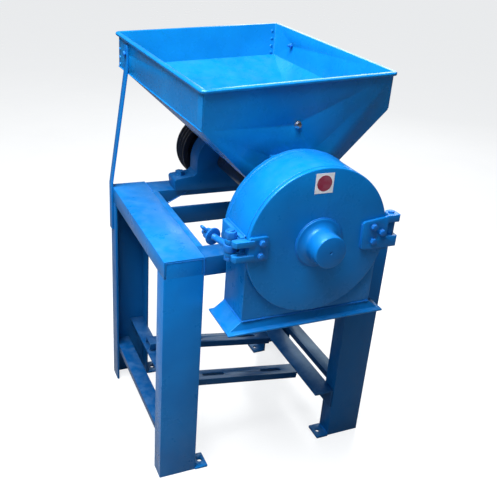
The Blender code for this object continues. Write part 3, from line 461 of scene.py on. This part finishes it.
def rivet(name, place, out, radius, height, body, mat):
    """A domed head standing on a surface."""
    bm = bmesh.new()
    turn = out.to_track_quat("Z", "Y").to_matrix()
    rings = []
    for k in range(6):
        t = k / 5 * math.pi / 2
        rr, hh = radius * math.cos(t), height * math.sin(t)
        if k == 5:
            rings.append([bm.verts.new(place + turn @ Vector((0, 0, height)))])
        else:
            rings.append([bm.verts.new(place + turn @ Vector((rr * math.cos(a), rr * math.sin(a), hh)))
                          for a in [2 * math.pi * i / 20 for i in range(20)]])
    base = [bm.verts.new(place + turn @ Vector((radius * math.cos(a), radius * math.sin(a), -0.0006)))
            for a in [2 * math.pi * i / 20 for i in range(20)]]
    rings.insert(0, base)
    bm.faces.new(base)
    for a, b in zip(rings, rings[1:]):
        for k in range(20):
            j = (k + 1) % 20
            if len(b) == 1:
                bm.faces.new((a[k], a[j], b[0]))
            else:
                bm.faces.new((a[k], a[j], b[j], b[k]))
    return take(link_mesh(name, bm, 50), body, mat)


# hopper's own frame: turned and leaning, as the CAD's is
def hop(x, y, z):
    cx, cy, cz = (55.3 + 568.6) / 2, (13.7 + 614.3) / 2, 1067.4
    dx, dy, dz = x - cx, y - cy, z - cz
    c, s = math.cos(0.0612), math.sin(0.0612)
    return at(cx + c * dx - s * dy, cy + s * dx + c * dy, cz + dz + 0.0447 * dx + 0.0341 * dy)


def slab(name, corners_out, normal, thick, body, mat, soft=0.5):
    """A thin plate: its outer corners in order, and its thickness against the normal."""
    bm = bmesh.new()
    outer = [bm.verts.new(p) for p in corners_out]
    inner = [bm.verts.new(p - normal * thick) for p in corners_out]
    bm.faces.new(outer)
    bm.faces.new(inner[::-1])
    count = len(outer)
    for k in range(count):
        j = (k + 1) % count
        bm.faces.new((outer[k], inner[k], inner[j], outer[j]))
    bmesh.ops.recalc_face_normals(bm, faces=bm.faces)
    bmesh.ops.bevel(bm, geom=bm.edges[:], offset=soft / 1000, segments=2, affect="EDGES", clamp_overlap=True)
    return take(link_mesh(name, bm, 40), body, mat)


left_out = (hop(0, 100, 1000) - hop(1, 100, 1000)).normalized()
# return flange of the front plate, lapped over the left and right walls
slab("hopper_front_lap_left", [hop(63.0, 24.2, 1056), hop(63.0, 50, 1056), hop(63.0, 50, 981), hop(63.0, 24.2, 978)],
     left_out, 0.0016, "frame", SHEET)
slab("hopper_front_lap_right", [hop(560.9, 24.2, 1056), hop(560.9, 50, 1056), hop(560.9, 50, 981), hop(560.9, 24.2, 978)],
     -left_out, 0.0016, "frame", SHEET)
# hems along the bottoms of the vertical walls
weld("hopper_hem_left", [hop(64.0, 26, 975), hop(64.0, 604, 975)], 0.0016, "frame", mat=SHEET, seed=5)
weld("hopper_hem_right", [hop(559.9, 26, 975), hop(559.9, 604, 975)], 0.0016, "frame", mat=SHEET, seed=6)
weld("hopper_hem_rear", [hop(67, 605.6, 975), hop(556, 605.6, 975)], 0.0016, "frame", mat=SHEET, seed=7)
# rivets of the wall laps
inward_x = -left_out
inward_y = (hop(300, 99, 1000) - hop(300, 100, 1000)).normalized()
count = 0
for z in (1046, 1024, 1002, 983):
    count += 1
    rivet(f"hopper_rivet_{count}", hop(546, 602.6, z), inward_y, 0.0042, 0.0026, "frame", SHEET)
    rivet(f"hopper_rivet_l{count}", hop(79, 602.6, z), inward_y, 0.0042, 0.0026, "frame", SHEET)
    rivet(f"hopper_rivet_r{count}", hop(64.5, 594, z), left_out, 0.0042, 0.0022, "frame", SHEET)

# sticker: blank red disc on a white square, on the door
cx, cz = 308.5, 876.0
slab("sticker_paper", [at(cx - 22.5, -146.35, cz - 23), at(cx + 22.5, -146.35, cz - 23), at(cx + 22.5, -146.35, cz + 23),
                      at(cx - 22.5, -146.35, cz + 23)], Vector((0, -1, 0)), 0.0004, "door", WHITE, soft=0.1)
bm = bmesh.new()
front = [bm.verts.new(p) for p in ring_points(18.2, -146.6, 0, 360, 63, cx, cz)]
rear = [bm.verts.new(p) for p in ring_points(18.2, -146.3, 0, 360, 63, cx, cz)]
bm.faces.new(front)
bm.faces.new(rear[::-1])
for k in range(64):
    j = (k + 1) % 64
    bm.faces.new((front[k], rear[k], rear[j], front[j]))
bmesh.ops.remove_doubles(bm, verts=bm.verts, dist=1e-6)
take(link_mesh("sticker_disc", bm, 40), "door", RED)

# wing nut: waisted collar with two cast ears
angle = math.radians(106)
along = Vector((math.cos(angle), math.sin(angle), 0))
across = Vector((-math.sin(angle), math.cos(angle), 0))
pivot = at(108, -122, 739)
spin = math.radians(-40)


def nut_point(a, r, t):
    """a along the rod, r out from it and t round it, in millimetres and radians."""
    v = Vector((0, -math.sin(spin), math.cos(spin)))
    w = Vector((0, math.cos(spin), math.sin(spin)))
    local = math.cos(t) * v + math.sin(t) * w
    return pivot + (along * a + across * local.y * r + Vector((0, 0, 1)) * local.z * r) / 1000


bm = bmesh.new()
steps = 48
profile = [(63.8, 8.0), (63.8, 14.2), (64.6, 15.0), (67.0, 15.0), (70.0, 14.4), (74, 13.4), (82.6, 12.4), (84.0, 11.4), (84.0, 8.0)]
rings = [[bm.verts.new(nut_point(a, r, 2 * math.pi * k / steps)) for k in range(steps)] for a, r in profile]
for a, b in zip(rings, rings[1:] + rings[:1]):
    for k in range(steps):
        j = (k + 1) % steps
        bm.faces.new((a[k], a[j], b[j], b[k]))
collar = link_mesh("wing_nut_detail", bm, 40)
take(collar, "nut", BOLT, "wing_nut")
for s, base in ((1, 0.0), (-1, math.pi)):
    bm = bmesh.new()
    outline = [(66, 11), (67.5, 17), (69.5, 23), (72.5, 28.4), (76, 30.6), (80.5, 30.4), (84.5, 28.6), (87, 24.4), (87.2, 19), (85.2, 14), (82.5, 10.6)]
    dense = []
    for (a0, r0), (a1, r1) in zip(outline, outline[1:]):
        dense += [(a0, r0), ((a0 + a1) / 2, (r0 + r1) / 2)]
    dense.append(outline[-1])
    thick = [3.4 if r < 16 else 2.9 for _, r in dense]
    one, two = [], []
    for (a, r), h in zip(dense, thick):
        d = math.asin(min(0.9, h / r))
        one.append(bm.verts.new(nut_point(a, r, base + d)))
        two.append(bm.verts.new(nut_point(a, r, base - d)))
    bm.faces.new(one)
    bm.faces.new(two[::-1])
    for k in range(len(one)):
        j = (k + 1) % len(one)
        bm.faces.new((one[k], two[k], two[j], one[j]))
    bmesh.ops.recalc_face_normals(bm, faces=bm.faces)
    rim = [e for e in bm.edges if e.calc_face_angle(0) > math.radians(50)]
    bmesh.ops.bevel(bm, geom=rim, offset=0.0014, segments=3, affect="EDGES", clamp_overlap=True)
    take(link_mesh(f"wing_nut_ear_{1 if s > 0 else 2}", bm, 50), "nut", BOLT)

# thread ridges on the swing bolt's free end
bm = bmesh.new()
rings = []
turns = 40
for i in range(turns * 2 + 1):
    a = 48 + i * 0.56
    r = 7.45 if i % 2 else 7.78
    ring = []
    for k in range(24):
        t = 2 * math.pi * k / 24
        ring.append(bm.verts.new(pivot + (along * a + across * math.cos(t) * r + Vector((0, 0, 1)) * math.sin(t) * r) / 1000))
    rings.append(ring)
bm.faces.new(rings[0])
bm.faces.new(rings[-1])
for a, b in zip(rings, rings[1:]):
    for k in range(24):
        j = (k + 1) % 24
        bm.faces.new((a[k], a[j], b[j], b[k]))
take(link_mesh("swing_bolt_thread", bm, 20), "swing", BOLT)

# weld beads
fl, fr = 143.0, 483.0
weld("weld_drum_rear", ring_points(175.2, -26.6, -10, 190, 120), 0.0022, "frame", seed=2)
weld("weld_casing_front", ring_points(169.8, -133.0, 0, 180, 90), 0.0014, "frame", seed=4)
for name, pts in (
    ("weld_skirt_front", [at(fl, -133.6, 549.6), at(fr, -133.6, 549.6)]),
    ("weld_skirt_left", [at(fl, -133.4, 549.6), at(fl, -27, 549.6)]),
    ("weld_skirt_right", [at(fr, -133.4, 549.6), at(fr, -27, 549.6)]),
):
    weld(name, pts, 0.0022, "frame", seed=len(name))
weld("weld_boss", ring_points(58.6, -146.4, 0, 354, 60), 0.0016, "door", closed=True, seed=11)
weld("weld_latch_plate", [at(184.6, -146.6, 714), at(184.6, -146.6, 766)], 0.0016, "door", seed=12)
weld("weld_hinge_plate", [at(421.5, -146.6, 768), at(423.6, -146.6, 708)], 0.0016, "door", seed=13)
weld("weld_knuckle_top", [at(490.2, -131.5, 765.6), at(490.2, -119.5, 765.6)], 0.0022, "frame", seed=14)
weld("weld_latch_lug_top", [at(136.9, -133, 764.4), at(136.9, -31, 764.4)], 0.0026, "frame", seed=15)
weld("weld_latch_lug_low", [at(136.9, -133, 715.6), at(136.9, -31, 715.6)], 0.0026, "frame", seed=16)
for side_name, a, b in (("left", 3.0, 97.0), ("right", 523.0, 617.0)):
    weld(f"weld_{side_name}_front_leg", [at(a, 0.4, 650.0), at(b, 0.4, 650.0)], 0.0012, "frame", seed=17)
for side_name, x in (("left", 100.1), ("right", 519.9)):
    weld(f"weld_{side_name}_cross", [at(x, 0.6, 607), at(x, 0.6, 654)], 0.0018, "frame", seed=18)
    weld(f"weld_{side_name}_foot", [at(x, 1.0, 6.4), at(x, 49.0, 6.4)], 0.0018, "frame", seed=19)
    weld(f"weld_{side_name}_rear_cross", [at(x, 428, 654.8), at(x, 501, 654.8)], 0.0012, "frame", seed=20)
weld("weld_gusset_left", [at(101, 426.8, 593), at(203, 426.8, 645)], 0.0016, "frame", seed=21)
weld("weld_throat_top", [at(254.5, -13.4, 888.2), at(371.5, -13.4, 888.2)], 0.0024, "frame", seed=22)

# ------------------------------------------------------------------ setting
bm = bmesh.new()
bmesh.ops.create_grid(bm, x_segments=24, y_segments=24, size=14.0)
floor = link_mesh("studio_floor", bm)
floor.location = (0, 0, -0.0002)
n = Nodes("studio_floor")
n.link(n.mix(n.ramp(n.noise(3.0, 4.0), 0.3, 0.7), (0.24, 0.243, 0.246), (0.26, 0.263, 0.266)), n.shader.inputs["Base Color"])
n.link(n.ramp(n.noise(8.0, 3.0), 0.3, 0.7, 0.2, 0.28), n.shader.inputs["Roughness"])
path = n.tree.nodes.new("ShaderNodeLightPath")
n.shader.inputs["Emission Color"].default_value = (0.97, 0.985, 1.0, 1.0)
n.link(n.math("MULTIPLY", path.outputs["Is Camera Ray"], 0.8), n.shader.inputs["Emission Strength"])
floor.data.materials.append(n.mat)


def lamp(name, place, target, size, power, colour):
    data = bpy.data.lights.new(name, "AREA")
    data.shape = "RECTANGLE"
    data.size, data.size_y = size
    data.energy = power
    data.color = colour
    obj = bpy.data.objects.new(name, data)
    bpy.context.scene.collection.objects.link(obj)
    obj.location = place
    obj.rotation_euler = (Vector(target) - Vector(place)).to_track_quat("-Z", "Y").to_euler()
    return obj


lamp("key", (-0.95, -0.4, 3.1), (0, 0.05, 0.8), (1.9, 1.6), 218, (1.0, 1.0, 0.99))
lamp("left_fill", (-2.6, -0.9, 2.0), (0, 0, 0.9), (1.6, 1.4), 22, (0.97, 0.98, 1.0))
lamp("front_fill", (-0.9, -2.6, 2.1), (0, 0, 0.95), (1.8, 1.2), 10, (1.0, 1.0, 1.0))
lamp("back_fill", (2.0, 2.7, 1.9), (0, 0, 0.7), (2.0, 1.6), 34, (1.0, 1.0, 1.0))
world = bpy.data.worlds.new("studio")
world.use_nodes = True
world.node_tree.nodes["Background"].inputs["Color"].default_value = (0.93, 0.96, 1.0, 1.0)
ray = world.node_tree.nodes.new("ShaderNodeLightPath")
seen = world.node_tree.nodes.new("ShaderNodeMapRange")
seen.inputs["To Min"].default_value = 0.07
seen.inputs["To Max"].default_value = 0.9
world.node_tree.links.new(ray.outputs["Is Camera Ray"], seen.inputs["Value"])
world.node_tree.links.new(seen.outputs["Result"], world.node_tree.nodes["Background"].inputs["Strength"])
bpy.context.scene.world = world
bpy.context.scene.view_settings.view_transform = "Standard"
